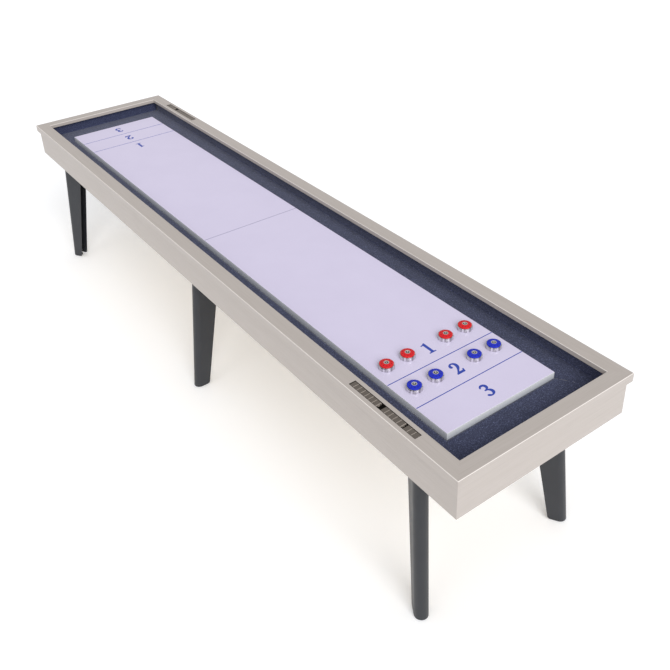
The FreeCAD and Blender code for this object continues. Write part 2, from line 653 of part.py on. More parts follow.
top_plates, foot_plates, bolts = [], [], []
for name, along, across, facing in LEGS:
    keep(stand(leg_channel(name), along, across, facing), "leg_" + name)
    top_plates.append(stand(top_plate(name), along, across, facing))
    bolts.append(stand(group(f"bolts_{name}", [bolt(f"bolt_{name}_{number}", x, y)
                                               for number, (x, y) in enumerate(BOLT_PLACES)]),
                       along, across, facing))
    foot_plates.append(stand(foot_plate(name), along, across, facing,
                             "Places.leg_high - Dims.foot_plate_up"))
    keep(stand(levelling_foot(name), along, across, facing, "Places.leg_top"),
         "levelling_foot_" + name)
keep(group("top_plates", top_plates), "leg_top_plates")
keep(group("foot_plates", foot_plates), "foot_plates")
keep(group("bolts", bolts), "leg_bolts")


def leg_board(name, middle, legs):
    """A plywood board across the cabinet over a pair of legs, bored for their bolts."""
    blank = box(f"leg_board_{name}_blank",
                (f"{middle} - Dims.leg_board_length / 2", "-Places.room_y", "Places.board_bottom"),
                (f"{middle} + Dims.leg_board_length / 2", "Places.room_y", "Places.board_top"))
    holes = []
    for leg, along, across, facing in legs:
        bores = [rod(f"board_{leg}_hole_{number}", HOLE, "Dims.leg_board_thick", x, y,
                     "Dims.leg_plate") for number, (x, y) in enumerate(BOLT_PLACES)]
        holes.append(stand(group(f"board_{leg}_holes", bores), along, across, facing))
    return cut(f"leg_board_{name}", blank, group(f"leg_board_{name}_holes", holes))


keep(group("leg_board_set",
           [leg_board(end, middle, [leg for leg in LEGS if leg[0].startswith(end)])
            for end, middle in zip(("far", "middle", "near"), BOARD_MIDDLES)]), "leg_boards")

# ---------------------------------------------------------------------------------------------
# Scorers: an open tray let into a side rail, two rods, and tiles that slide along them
# ---------------------------------------------------------------------------------------------


def scorer_tray(side):
    outside = box(f"tray_{side}_outside", ("-Places.tray_half_x", "-Places.tray_half_y", "0"),
                  ("Places.tray_half_x", "Places.tray_half_y", "Places.scorer_depth"))
    inside = box(f"tray_{side}_inside",
                 ("-Places.tray_inside_x", "-Places.tray_half_y + Dims.tray_wall",
                  "Dims.tray_wall"),
                 ("Places.tray_inside_x", "Places.tray_half_y - Dims.tray_wall",
                  "Places.scorer_depth"))
    return cut(f"tray_{side}", outside, inside)


def lying_rod(name, size, x, y, z, length):
    """A round bar along X from a place."""
    bar = doc.addObject("Part::Cylinder", name)
    tie(bar, Radius=f"({size}) / 2", Height=length)
    bar.Placement = FreeCAD.Placement(Vec(), FreeCAD.Rotation(Vec(0, 1, 0), 90))
    bar.setExpression(".Placement.Base.x", x)
    bar.setExpression(".Placement.Base.y", y)
    bar.setExpression(".Placement.Base.z", z)
    return bar


ROD_LINES = ("-Dims.rod_pair / 2", "Dims.rod_pair / 2")
ROD_UP = "Places.rod_up - Places.tray_bottom"


def tile(tag, start):
    """A tile with bevelled top edges and two rod holes, from a place along the tray."""
    blank = box(tag + "_blank", (start, "-Places.tile_half_y",
                                 "Places.tile_top - Places.tray_bottom - Places.tile_high"),
                (f"{start} + Places.tile_length", "Places.tile_half_y",
                 "Places.tile_top - Places.tray_bottom"))
    doc.recompute()
    level = value("tile_top") - value("tray_bottom")
    edges = [number for number, edge in enumerate(blank.Shape.Edges, start=1)
             if all(abs(corner.Z - level) < 1e-6 for corner in edge.Vertexes)
             and abs(edge.Vertexes[0].X - edge.Vertexes[1].X) < 1e-6]
    bevelled = doc.addObject("Part::Chamfer", tag + "_bevel")
    bevelled.Base = blank
    bevelled.Edges = [(number, value("tile_edge"), value("tile_edge")) for number in edges]
    holes = group(tag + "_holes", [lying_rod(f"{tag}_hole_{number}",
                                             "Dims.rod_size + 2 * Dims.thread_clearance", start,
                                             line, ROD_UP, "Places.tile_length")
                                   for number, line in enumerate(ROD_LINES)])
    return cut(tag, bevelled, holes)


def tile_run(side, run, count, start):
    return group(f"tiles_{side}_{run}", [tile(f"tile_{side}_{run}_{number}",
                                              f"{start} + {number} * Places.tile_pitch")
                                         for number in range(count)])


def in_rail(piece, side):
    """The left scorer lies towards the near end and the right one towards the far end."""
    sign = -1 if side == "left" else 1
    return put(piece, f"{-sign} * Places.slot_x", f"{sign} * Places.slot_y", "Places.tray_bottom",
               turn="0" if side == "left" else "180")


# A scorer's inside ends, and where each run of tiles starts. The gaps between runs are the places
# that played tiles have left.
TRAY_START = "(Dims.tile_gap - Places.tray_inside_x)"
TRAY_END = "Places.tray_inside_x"
for side, _ in SIDES:
    keep(in_rail(scorer_tray(side), side), "scorer_tray_" + side)
    rods = [lying_rod(f"rod_{side}_{number}", "Dims.rod_size",
                      "-Places.tray_inside_x", line, ROD_UP, "2 * Places.tray_inside_x")
            for number, line in enumerate(ROD_LINES)]
    keep(in_rail(group(f"rods_{side}", rods), side), "scorer_rods_" + side)

LEFT_RUNS = [("first", FIRST_TILES, TRAY_START),
             ("middle", MIDDLE_TILES, f"({TRAY_END} - {MIDDLE_TILES + LAST_TILES}"
                                      " * Places.tile_pitch - Places.tile_length / 2)"),
             ("last", LAST_TILES, f"({TRAY_END} - {LAST_TILES} * Places.tile_pitch)")]
RIGHT_RUNS = [("first", FIRST_TILES + LAST_TILES + 1, TRAY_START),
              ("last", MIDDLE_TILES - 1, f"({TRAY_END} - {MIDDLE_TILES - 1} * Places.tile_pitch)")]
for side, runs in (("left", LEFT_RUNS), ("right", RIGHT_RUNS)):
    for run, count, start in runs:
        keep(in_rail(tile_run(side, run, count, start), side), f"scorer_tiles_{side}_{run}")

# ---------------------------------------------------------------------------------------------
# Weights: a turned steel body with a plastic cap screwed on its boss
# ---------------------------------------------------------------------------------------------


def bevelled_rod(name, size, length, z="0"):
    """An upright bar with a bevel round both ends."""
    bar = rod(name + "_blank", size, length, z=z)
    doc.recompute()
    rims = [number for number, edge in enumerate(bar.Shape.Edges, start=1) if edge.Closed]
    result = doc.addObject("Part::Chamfer", name)
    result.Base = bar
    result.Edges = [(number, value("puck_edge"), value("puck_edge")) for number in rims]
    return result


def weight_body(tag):
    boss = rod(tag + "_boss", "Dims.puck_boss_size", "Dims.puck_steel_high + Dims.puck_boss_high")
    return fuse(tag, bevelled_rod(tag + "_turned", "Dims.puck_size", "Dims.puck_steel_high"), boss)


def weight_cap(tag):
    """A rim, a dome to the raised middle, a recess there, and a ring of grip dimples."""
    rim = rod(tag + "_rim", "Dims.puck_cap_size", "Dims.puck_cap_rim")
    dome = doc.addObject("Part::Cone", tag + "_dome")
    tie(dome, Radius1="Dims.puck_cap_size / 2 - Dims.puck_edge",
        Radius2="Dims.puck_badge_size / 2 + Dims.puck_edge", Height="Dims.puck_cap_rise")
    put(dome, z="Dims.puck_cap_rim")
    top = "Dims.puck_cap_rim + Dims.puck_cap_rise"
    bore = rod(tag + "_bore", "Dims.puck_boss_size + 2 * Dims.thread_clearance",
               "Dims.puck_boss_high + Dims.thread_clearance")
    recess = rod(tag + "_recess", "Dims.puck_badge_size", "Dims.puck_badge_deep",
                 z=f"{top} - Dims.puck_badge_deep")
    slope = ("Dims.puck_cap_rise * (Dims.puck_cap_size / 2 - Dims.puck_edge"
             " - Dims.puck_grip_ring) / (Dims.puck_cap_size / 2 - Dims.puck_badge_size / 2"
             " - 2 * Dims.puck_edge)")
    dimples = []
    for number in range(GRIP_DIMPLES):
        angle = f"{360 / GRIP_DIMPLES * number} * 1deg"
        dimples.append(rod(f"{tag}_dimple_{number}", "Dims.puck_grip_size",
                           "Dims.puck_cap_rise", f"Dims.puck_grip_ring * cos({angle})",
                           f"Dims.puck_grip_ring * sin({angle})",
                           f"Dims.puck_cap_rim + {slope} - Dims.puck_grip_deep"))
    return cut(tag, fuse(tag + "_blank", rim, dome), group(tag + "_hollows",
                                                           [bore, recess] + dimples))


for colour, row in (("red", "red_row"), ("blue", "blue_row")):
    number = 0
    for lane, sign in (("outer_lane", -1), ("inner_lane", -1), ("inner_lane", 1),
                       ("outer_lane", 1)):
        number += 1
        spot = (f"Places.play_x - Dims.{row}", f"{sign} * Dims.{lane}")
        keep(put(weight_body(f"steel_{colour}_{number}"), *spot, "Places.play_top"),
             f"weight_{colour}_{number}")
        keep(put(weight_cap(f"top_{colour}_{number}"), *spot, "Places.cap_bottom"),
             f"cap_{colour}_{number}")

# ---------------------------------------------------------------------------------------------
# Check every object and write each sub-part
# ---------------------------------------------------------------------------------------------
doc.recompute()
for item in doc.Objects:
    if {"Invalid", "Error"} & set(item.State):
        raise ValueError(f"{item.Label} failed: {item.State}")
for piece in subparts:
    if piece.Shape.isNull() or not piece.Shape.isValid() or not piece.Shape.Solids:
        raise ValueError(f"{piece.Label} has no sound solid")
for piece in subparts:
    piece.Shape.exportStep(f"parts/{piece.Label}.step")
    print(f"{piece.Label}: {len(piece.Shape.Solids)} solid(s), {piece.Shape.Volume / 1000:.1f} cm3")
print(len(subparts), "sub-parts")
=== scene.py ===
import math

import bmesh
import bpy
from mathutils import Matrix, Vector, noise


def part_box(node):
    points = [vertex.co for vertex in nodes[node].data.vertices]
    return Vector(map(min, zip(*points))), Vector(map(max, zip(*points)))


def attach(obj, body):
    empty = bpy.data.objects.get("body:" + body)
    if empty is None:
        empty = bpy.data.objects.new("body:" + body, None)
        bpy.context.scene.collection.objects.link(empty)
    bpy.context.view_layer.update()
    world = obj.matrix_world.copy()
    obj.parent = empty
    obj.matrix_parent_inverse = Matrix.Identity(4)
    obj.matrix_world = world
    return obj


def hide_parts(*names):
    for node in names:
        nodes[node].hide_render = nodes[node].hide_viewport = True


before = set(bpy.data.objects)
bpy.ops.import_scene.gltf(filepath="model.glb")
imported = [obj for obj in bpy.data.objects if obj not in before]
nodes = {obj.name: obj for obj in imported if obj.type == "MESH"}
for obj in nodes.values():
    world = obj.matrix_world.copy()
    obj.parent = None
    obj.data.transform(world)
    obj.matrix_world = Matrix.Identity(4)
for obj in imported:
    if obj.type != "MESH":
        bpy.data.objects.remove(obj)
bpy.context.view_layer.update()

# ---------------------------------------------------------------------------------------------
# Camera: a normal lens above head height, off the near end's left corner, looking down the
# length of the table. Its downward shift keeps the whole table in the frame.
# ---------------------------------------------------------------------------------------------
camera = bpy.data.objects.new("camera", bpy.data.cameras.new("camera"))
camera.location = (3.0858, -1.6735, 2.6247)
camera.rotation_euler = [math.radians(turn) for turn in (60.416, 2.029, 54.036)]
camera.data.lens = 45.09
camera.data.shift_y = -0.1363
camera.data.clip_end = 100
bpy.context.scene.collection.objects.link(camera)
bpy.context.scene.camera = camera
bpy.context.scene.view_settings.view_transform = "Standard"

# ---------------------------------------------------------------------------------------------
# Cap rails and panels: boards faced with a washed-oak laminate, pressed from a printed sheet
# under a satin plate. Rails are mitred at the corners and lap down over the panels.
# ---------------------------------------------------------------------------------------------


def colour(code):
    """An sRGB hex code as linear red, green, blue and full alpha."""
    parts = [int(code[start:start + 2], 16) / 255 for start in (1, 3, 5)]
    return tuple(part / 12.92 if part <= 0.04045 else ((part + 0.055) / 1.055) ** 2.4
                 for part in parts) + (1.0,)


def add(tree, kind, inputs=None, **settings):
    """One shader node: its settings, and its inputs either linked or set. A Mix node's inputs go
    by number: 0 is its factor, 6 and 7 are its colours, and 2 and 3 are its plain numbers."""
    node = tree.nodes.new("ShaderNode" + kind)
    for name, setting in settings.items():
        setattr(node, name, setting)
    for name, given in (inputs or {}).items():
        if isinstance(given, bpy.types.NodeSocket):
            tree.links.new(given, node.inputs[name])
        else:
            node.inputs[name].default_value = given
    return node


def new_material(name):
    """An empty material, its node tree and its shader."""
    material = bpy.data.materials.new(name)
    material.use_nodes = True
    tree = material.node_tree
    return material, tree, tree.nodes["Principled BSDF"]


def finish_with(tree, shader, base, roughness, bump=None):
    """Link a material's colour, roughness and bump to its shader."""
    tree.links.new(base, shader.inputs["Base Color"])
    tree.links.new(roughness, shader.inputs["Roughness"])
    if bump is not None:
        tree.links.new(bump, shader.inputs["Normal"])


def dress(node_names, material):
    """Give CAD nodes their finish."""
    for name in node_names:
        mesh = nodes[name].data
        mesh.materials.clear()
        mesh.materials.append(material)


MM = 0.001
GRAIN_WIDTH = 2.2 * MM       # the print's grain is nearer 1 mm, which is too fine to show
GRAIN_LENGTH = 160 * MM
PLANK_BAND = 30 * MM         # how broad the print's slow changes of tone are
PLANK_LENGTH = 400 * MM


def washed_oak_laminate(name, along):
    """Printed laminate: pale pinkish greige, faint straight grain, a satin plate's even gloss,
    and a painted highlight: a paler line where it is bent over a board's top edges."""
    material, tree, shader = new_material(name)
    coordinates = add(tree, "TexCoord")
    place = coordinates.outputs["Object"]
    fine = [1 / GRAIN_WIDTH] * 3
    fine[along] = 1 / GRAIN_LENGTH
    broad = [1 / PLANK_BAND] * 3
    broad[along] = 1 / PLANK_LENGTH
    lines = add(tree, "TexNoise", {
        "Vector": add(tree, "Mapping", {"Vector": place, "Scale": fine}).outputs[0],
        "Scale": 1.0, "Detail": 4.0, "Roughness": 0.6})
    bands = add(tree, "TexNoise", {
        "Vector": add(tree, "Mapping", {"Vector": place, "Scale": broad}).outputs[0],
        "Scale": 1.0, "Detail": 2.0})
    pale = add(tree, "Mix", {0: bands.outputs["Fac"], 6: colour("#B7AFAA"),
                             7: colour("#B2AAA4")}, data_type="RGBA")
    streak = add(tree, "MapRange", {"Value": lines.outputs["Fac"], "From Min": 0.45,
                                    "From Max": 0.8})
    print_tone = add(tree, "Mix", {0: streak.outputs[0], 6: pale.outputs[2],
                                   7: colour("#AAA29B")}, data_type="RGBA")
    # Painted highlight: where the normal leans, on the top edges' round-overs, the colour turns
    # paler.
    lean = add(tree, "SeparateXYZ", {0: coordinates.outputs["Normal"]}).outputs["Z"]
    bent = add(tree, "MapRange", {"Value": lean, "From Min": 0.15, "From Max": 0.4})
    past = add(tree, "MapRange", {"Value": lean, "From Min": 0.98, "From Max": 0.85})
    painted_edge_highlight = add(tree, "Math", {0: bent.outputs[0], 1: past.outputs[0]}, operation="MULTIPLY")
    base = add(tree, "Mix", {0: painted_edge_highlight.outputs[0], 6: print_tone.outputs[2],
                             7: colour("#E2DCD7")}, data_type="RGBA")
    gloss = add(tree, "MapRange", {"Value": lines.outputs["Fac"], "To Min": 0.40,
                                   "To Max": 0.48})
    bump = add(tree, "Bump", {"Height": lines.outputs["Fac"], "Strength": 0.15,
                              "Distance": 0.08 * MM})
    finish_with(tree, shader, base.outputs[2], gloss.outputs[0], bump.outputs[0])
    shader.inputs["IOR"].default_value = 1.5
    return material


ALONG_X, ALONG_Y = 0, 1
oak_along = washed_oak_laminate("washed_oak_laminate_along", ALONG_X)
oak_across = washed_oak_laminate("washed_oak_laminate_across", ALONG_Y)
dress(["cap_rail_left", "cap_rail_right", "side_panel_left", "side_panel_right"], oak_along)
dress(["cap_rail_near", "cap_rail_far", "end_panel_near", "end_panel_far"], oak_across)

# ---------------------------------------------------------------------------------------------
# Deck, leg boards, bearers and glue blocks: sanded plywood and planed pine, left unfinished
# because they are seen only from under the table. The boards are screwed and glued.
# ---------------------------------------------------------------------------------------------


RING_STRETCH = 20            # growth rings are drawn this many times longer than they are wide


def bare_wood(name, light, dark, ring, along):
    """Unfinished timber or ply: straight grain in two tones, dry and dull."""
    material, tree, shader = new_material(name)
    place = add(tree, "TexCoord").outputs["Object"]
    scale = [1 / ring] * 3
    scale[along] = 1 / (RING_STRETCH * ring)
    grain = add(tree, "TexNoise", {
        "Vector": add(tree, "Mapping", {"Vector": place, "Scale": scale}).outputs[0],
        "Scale": 1.0, "Detail": 6.0, "Distortion": 0.6})
    base = add(tree, "Mix", {0: grain.outputs["Fac"], 6: colour(light), 7: colour(dark)},
               data_type="RGBA")
    gloss = add(tree, "MapRange", {"Value": grain.outputs["Fac"], "To Min": 0.6, "To Max": 0.8})
    bump = add(tree, "Bump", {"Height": grain.outputs["Fac"], "Strength": 0.4,
                              "Distance": 0.3 * MM})
    finish_with(tree, shader, base.outputs[2], gloss.outputs[0], bump.outputs[0])
    return material


birch_ply = bare_wood("sanded_birch_plywood", "#DCC9A4", "#C2A679", 9 * MM, ALONG_X)
planed_pine = bare_wood("planed_pine", "#DFC796", "#BE9657", 6 * MM, ALONG_Y)
dress(["deck", "leg_boards"], birch_ply)
dress(["cross_bearers", "corner_blocks"], planed_pine)

# ---------------------------------------------------------------------------------------------
# Gutter carpet: needle-punched polypropylene in dark slate blue, glued to the gutter's floor and
# folded up its outer wall. Four strips meet in mitres at the corners.
# ---------------------------------------------------------------------------------------------
CARPET_LAYER = 3 * MM        # carpet and glue, from the deck or a panel to the pile
CARPET_THICK = 2.4 * MM
TOP_GAP = 0.5 * MM           # the carpet's top edge stops short of the cap rail
FOLD = 3 * MM
FOLD_STEPS = 4
OVERLAP = 2 * MM             # at the mitres, so that no deck shows between two strips
WALL_GAP = 0.3 * MM          # at a strip's upright ends
PILE_STEP = 7 * MM
PILE_CLUMP = 9 * MM
PILE_RISE = 0.35 * MM


def needle_punched_carpet():
    """Matted fibres: a dull, speckled blue-grey with lighter and darker tufts."""
    material, tree, shader = new_material("needle_punched_carpet")
    place = add(tree, "TexCoord").outputs["Object"]
    tufts = add(tree, "TexNoise", {"Vector": place, "Scale": 1 / (3.2 * MM), "Detail": 3.0,
                                   "Roughness": 0.7})
    fibres = add(tree, "TexNoise", {"Vector": place, "Scale": 1 / (1.1 * MM), "Detail": 2.0,
                                    "Distortion": 1.5})
    wear = add(tree, "TexNoise", {"Vector": place, "Scale": 1 / (60 * MM), "Detail": 2.0})
    ground = add(tree, "Mix", {0: wear.outputs["Fac"], 6: colour("#2B3048"),
                               7: colour("#363B58")}, data_type="RGBA")
    light = add(tree, "MapRange", {"Value": tufts.outputs["Fac"], "From Min": 0.52,
                                   "From Max": 0.72})
    speckled = add(tree, "Mix", {0: light.outputs[0], 6: ground.outputs[2],
                                 7: colour("#737BA2")}, data_type="RGBA")
    dark = add(tree, "MapRange", {"Value": fibres.outputs["Fac"], "From Min": 0.56,
                                  "From Max": 0.74})
    base = add(tree, "Mix", {0: dark.outputs[0], 6: speckled.outputs[2],
                             7: colour("#14151F")}, data_type="RGBA")
    gloss = add(tree, "MapRange", {"Value": fibres.outputs["Fac"], "To Min": 0.85,
                                   "To Max": 1.0})
    bump = add(tree, "Bump", {"Height": tufts.outputs["Fac"], "Strength": 0.8,
                              "Distance": 1.2 * MM})
    finish_with(tree, shader, base.outputs[2], gloss.outputs[0], bump.outputs[0])
    shader.inputs["Sheen Weight"].default_value = 0.25
    shader.inputs["Sheen Roughness"].default_value = 0.5
    shader.inputs["Specular IOR Level"].default_value = 0.2
    return material


def new_piece(name, mesh, material, body="cabinet"):
    """A finished mesh as a piece of the object that rides on a body."""
    piece = bpy.data.objects.new(name, mesh)
    bpy.context.scene.collection.objects.link(piece)
    mesh.materials.append(material)
    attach(piece, body)
    return piece


play_low, play_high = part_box("playfield")
gutter_low, gutter_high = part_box("gutter_carpet_left")
wall_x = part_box("gutter_carpet_near")[1].x - CARPET_LAYER
wall_y = -gutter_low.y - CARPET_LAYER
gutter_floor = play_low.z + CARPET_LAYER
carpet_edge = gutter_high.z - TOP_GAP


def carpet_strip(name, play_edge, wall, play_end, wall_end, run, out, material):
    """A strip from the playfield's edge across the gutter floor and up its wall. Its ends follow
    the mitre on the floor, and stand square against the next strip on the wall. It runs along one
    direction and faces out along another."""
    steps = max(3, round((wall - play_edge - FOLD) / PILE_STEP))
    section = []
    for step in range(steps + 1):
        away = (wall - FOLD - play_edge) * step / steps
        share = away / (wall - play_edge)
        section.append((play_edge + away, gutter_floor,
                        play_end + share * (wall_end - play_end) + OVERLAP,
                        Vector((0, 0, 1))))
    for step in range(1, FOLD_STEPS + 1):
        turn = math.radians(90 * step / FOLD_STEPS)
        normal = Vector(out) * -math.sin(turn) + Vector((0, 0, math.cos(turn)))
        section.append((wall - FOLD + FOLD * math.sin(turn),
                        gutter_floor + FOLD * (1 - math.cos(turn)), wall_end - FOLD / 2, normal))
    rises = round((carpet_edge - gutter_floor - FOLD) / PILE_STEP)
    for step in range(1, rises + 1):
        up = (carpet_edge - gutter_floor - FOLD) * step / rises
        section.append((wall, gutter_floor + FOLD + up, wall_end - WALL_GAP, -Vector(out)))
    columns = round(2 * wall_end / PILE_STEP)
    points = []
    for away, height, half, normal in section:
        for column in range(columns + 1):
            spot = Vector(run) * half * (2 * column / columns - 1) + Vector(out) * away
            spot.z = height
            pile = noise.fractal(spot / PILE_CLUMP, 1.0, 2.0, 3)
            points.append(spot + normal * PILE_RISE * pile)
    faces = []
    for row in range(len(section) - 1):
        for column in range(columns):
            first = row * (columns + 1) + column
            faces.append((first, first + 1, first + columns + 2, first + columns + 1))
    mesh = bpy.data.meshes.new(name)
    mesh.from_pydata(points, [], faces)
    form = bmesh.new()
    form.from_mesh(mesh)
    for face in form.faces:
        face.smooth = True
    form.normal_update()
    if next(iter(form.faces)).normal.z < 0:
        bmesh.ops.reverse_faces(form, faces=form.faces[:])
    form.to_mesh(mesh)
    form.free()
    piece = new_piece(name, mesh, material)
    backing = piece.modifiers.new("backing", "SOLIDIFY")
    backing.thickness = CARPET_THICK
    backing.offset = -1
    return piece


carpet = needle_punched_carpet()
for side, sign in (("left", -1), ("right", 1)):
    strip = carpet_strip(f"carpet_strip_{side}", play_high.y, wall_y, play_high.x, wall_x,
                         (1, 0, 0), (0, sign, 0), carpet)
    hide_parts(f"gutter_carpet_{side}")
for end, sign in (("far", -1), ("near", 1)):
    strip = carpet_strip(f"carpet_strip_{end}", play_high.x, wall_x, play_high.y, wall_y,
                         (0, 1, 0), (sign, 0, 0), carpet)
    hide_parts(f"gutter_carpet_{end}")

# ---------------------------------------------------------------------------------------------
# Playfield: a slab faced all over with a pale, faintly lavender high-pressure laminate, buffed
# to a low gloss. It stands on the deck, clear of the rails all round.
# ---------------------------------------------------------------------------------------------


def playfield_laminate():
    """Hard, smooth laminate: one pale tone with a faint cloudiness and a waxed sheen on top, and
    a grey edge strip with painted shade, darker towards its bottom and paler towards its top."""
    material, tree, shader = new_material("buffed_playfield_laminate")
    coordinates = add(tree, "TexCoord")
    place = coordinates.outputs["Object"]
    cloud = add(tree, "TexNoise", {"Vector": place, "Scale": 1 / (140 * MM), "Detail": 3.0})
    speck = add(tree, "TexNoise", {"Vector": place, "Scale": 1 / (2.5 * MM), "Detail": 2.0})
    tone = add(tree, "Mix", {0: cloud.outputs["Fac"], 6: colour("#D6CFE8"),
                             7: colour("#D0C9E2")}, data_type="RGBA")
    fine = add(tree, "MapRange", {"Value": speck.outputs["Fac"], "From Min": 0.55,
                                  "From Max": 0.85, "To Max": 0.3})
    top = add(tree, "Mix", {0: fine.outputs[0], 6: tone.outputs[2], 7: colour("#C0B9D0")},
              data_type="RGBA")
    # Painted shade: the edge strip's colour runs from darker at its bottom to paler at its top.
    height = add(tree, "MapRange", {
        "Value": add(tree, "SeparateXYZ", {0: place}).outputs["Z"],
        "From Min": play_low.z, "From Max": play_high.z})
    edge = add(tree, "Mix", {0: height.outputs[0], 6: colour("#BDC1C8"), 7: colour("#F0F2F3")},
               data_type="RGBA")
    lean = add(tree, "SeparateXYZ", {0: coordinates.outputs["Normal"]})
    flat = add(tree, "MapRange", {"Value": lean.outputs["Z"], "From Min": 0.3, "From Max": 0.8})
    base = add(tree, "Mix", {0: flat.outputs[0], 6: edge.outputs[2], 7: top.outputs[2]},
               data_type="RGBA")
    waxed = add(tree, "MapRange", {"Value": cloud.outputs["Fac"], "To Min": 0.26,
                                   "To Max": 0.36})
    bump = add(tree, "Bump", {"Height": speck.outputs["Fac"], "Strength": 0.08,
                              "Distance": 0.05 * MM})
    finish_with(tree, shader, base.outputs[2], waxed.outputs[0], bump.outputs[0])
    shader.inputs["IOR"].default_value = 1.5
    return material


dress(["playfield"], playfield_laminate())

# ---------------------------------------------------------------------------------------------
# Printed scoring: two lines and the numerals 3, 2 and 1 at each end, read from that end, and a
# thin line at the middle, screen-printed in a thin film of royal blue ink.
# ---------------------------------------------------------------------------------------------
INK_THICK = 0.06 * MM
LINE_WIDTH = 3.8 * MM
EDGE_MARGIN = 2 * MM         # the lines stop at the rounded edge
NUMERAL_WEIGHT = 1.3 * MM    # the outlines are drawn for a lighter cut than the bold one printed
ZONE = 151 * MM              # near enough six inches from one line to the next
NUMERAL_HIGH = 61 * MM


def screen_printed_ink(name, code):
    """Ink film: an even, slightly glossy colour with a trace of mottling from the mesh."""
    material, tree, shader = new_material(name)
    place = add(tree, "TexCoord").outputs["Object"]
    mottle = add(tree, "TexNoise", {"Vector": place, "Scale": 1 / (4 * MM), "Detail": 3.0})
    lighter = tuple(min(1.0, part * 1.2) for part in colour(code)[:3]) + (1.0,)
    base = add(tree, "Mix", {0: mottle.outputs["Fac"], 6: colour(code), 7: lighter},
               data_type="RGBA")
    gloss = add(tree, "MapRange", {"Value": mottle.outputs["Fac"], "To Min": 0.3,
                                   "To Max": 0.45})
    finish_with(tree, shader, base.outputs[2], gloss.outputs[0])
    return material


# Numeral outlines in heights of the numeral, from its bottom-left corner, anticlockwise. A third
# value of 1 marks a sharp corner; the curve is smooth through the other points.
ONE = [(0.04, 0.0, 1), (0.50, 0.0, 1), (0.50, 0.045, 1), (0.40, 0.065, 0), (0.365, 0.13, 1),
       (0.365, 1.0, 1), (0.33, 1.0, 1), (0.20, 0.915, 0), (0.05, 0.875, 1), (0.05, 0.835, 1),
       (0.16, 0.845, 0), (0.205, 0.79, 1), (0.205, 0.13, 1), (0.16, 0.065, 0), (0.04, 0.045, 1)]
TWO = [(0.0, 0.0, 1), (0.55, 0.0, 1), (0.62, 0.25, 1), (0.575, 0.26, 1), (0.52, 0.165, 0),
       (0.43, 0.145, 1), (0.19, 0.145, 1), (0.36, 0.32, 0), (0.52, 0.50, 0), (0.58, 0.70, 0),
       (0.52, 0.90, 0), (0.32, 1.0, 0), (0.12, 0.93, 0), (0.03, 0.77, 0), (0.05, 0.67, 0),
       (0.13, 0.64, 0), (0.20, 0.70, 0), (0.18, 0.79, 0), (0.21, 0.89, 0), (0.29, 0.92, 0),
       (0.38, 0.86, 0), (0.41, 0.71, 0), (0.35, 0.50, 0), (0.18, 0.23, 0), (0.0, 0.045, 1)]
THREE = [(0.02, 0.10, 0), (0.13, 0.01, 0), (0.27, -0.01, 0), (0.45, 0.04, 0), (0.57, 0.17, 0),
         (0.59, 0.31, 0), (0.52, 0.45, 0), (0.36, 0.53, 1), (0.49, 0.62, 0), (0.54, 0.75, 0),
         (0.48, 0.92, 0), (0.30, 1.0, 0), (0.12, 0.93, 0), (0.04, 0.80, 1), (0.08, 0.77, 1),
         (0.16, 0.86, 0), (0.25, 0.88, 0), (0.35, 0.83, 0), (0.38, 0.72, 0), (0.33, 0.60, 0),
         (0.17, 0.535, 1), (0.17, 0.49, 1), (0.33, 0.45, 0), (0.41, 0.33, 0), (0.41, 0.19, 0),
         (0.34, 0.08, 0), (0.25, 0.055, 0), (0.18, 0.12, 0), (0.10, 0.165, 0), (0.03, 0.15, 0)]


def draw(curve, points):
    """A closed outline, smooth except at its corners. Points are x, y and a corner mark."""
    line = curve.splines.new("BEZIER")
    line.bezier_points.add(len(points) - 1)
    for knot, (x, y, corner) in zip(line.bezier_points, points):
        knot.co = (x, y, 0)
        kind = "VECTOR" if corner else "AUTO"
        knot.handle_left_type = knot.handle_right_type = kind
    line.use_cyclic_u = True


def bar(curve, x, half_width, half_length):
    """A straight line across the playfield."""
    draw(curve, [(x - half_width, -half_length, 1), (x + half_width, -half_length, 1),
                 (x + half_width, half_length, 1), (x - half_width, half_length, 1)])


def new_print(name):
    """An empty print: a flat curve, to be filled and as thick as its ink."""
    curve = bpy.data.curves.new(name, "CURVE")
    curve.dimensions = "2D"
    curve.fill_mode = "BOTH"
    curve.extrude = INK_THICK / 2
    curve.resolution_u = 8
    return curve


def lay_print(curve, ink, turn=0.0):
    """Turn a drawn print into a closed mesh that lies on the playfield."""
    drawn = bpy.data.objects.new(curve.name, curve)
    mesh = bpy.data.meshes.new_from_object(drawn)
    bpy.data.objects.remove(drawn)
    mesh.transform(Matrix.Translation((0, 0, play_high.z + INK_THICK / 2))
                   @ Matrix.Rotation(turn, 4, "Z"))
    form = bmesh.new()
    form.from_mesh(mesh)
    bmesh.ops.remove_doubles(form, verts=form.verts, dist=0.001 * MM)
    form.to_mesh(mesh)
    form.free()
    mesh.materials.clear()
    new_piece(curve.name, mesh, ink)


blue_ink = screen_printed_ink("royal_blue_ink", "#1C3A9C")
violet_ink = screen_printed_ink("grey_violet_ink", "#8E8AA8")
half_play = play_high.y - EDGE_MARGIN
for end, turn in (("near", 0.0), ("far", math.pi)):
    lines = new_print(f"printed_lines_{end}")
    for zone in (1, 2):
        bar(lines, play_high.x - zone * ZONE, LINE_WIDTH / 2, half_play)
    lay_print(lines, blue_ink, turn)
    numerals = new_print(f"printed_numerals_{end}")
    numerals.offset = NUMERAL_WEIGHT
    for zone, numeral in enumerate((THREE, TWO, ONE)):
        wide = max(x for x, y, corner in numeral) + min(x for x, y, corner in numeral)
        middle = play_high.x - (zone + 0.5) * ZONE
        # A reader at the near end looks along -X, so a numeral's top lies towards -X.
        draw(numerals, [(middle + (0.5 - y) * NUMERAL_HIGH, (x - wide / 2) * NUMERAL_HIGH, corner)
                        for x, y, corner in numeral])
    lay_print(numerals, blue_ink, turn)
middle_line = new_print("printed_middle_line")
bar(middle_line, 0, LINE_WIDTH / 2, half_play)
lay_print(middle_line, violet_ink)
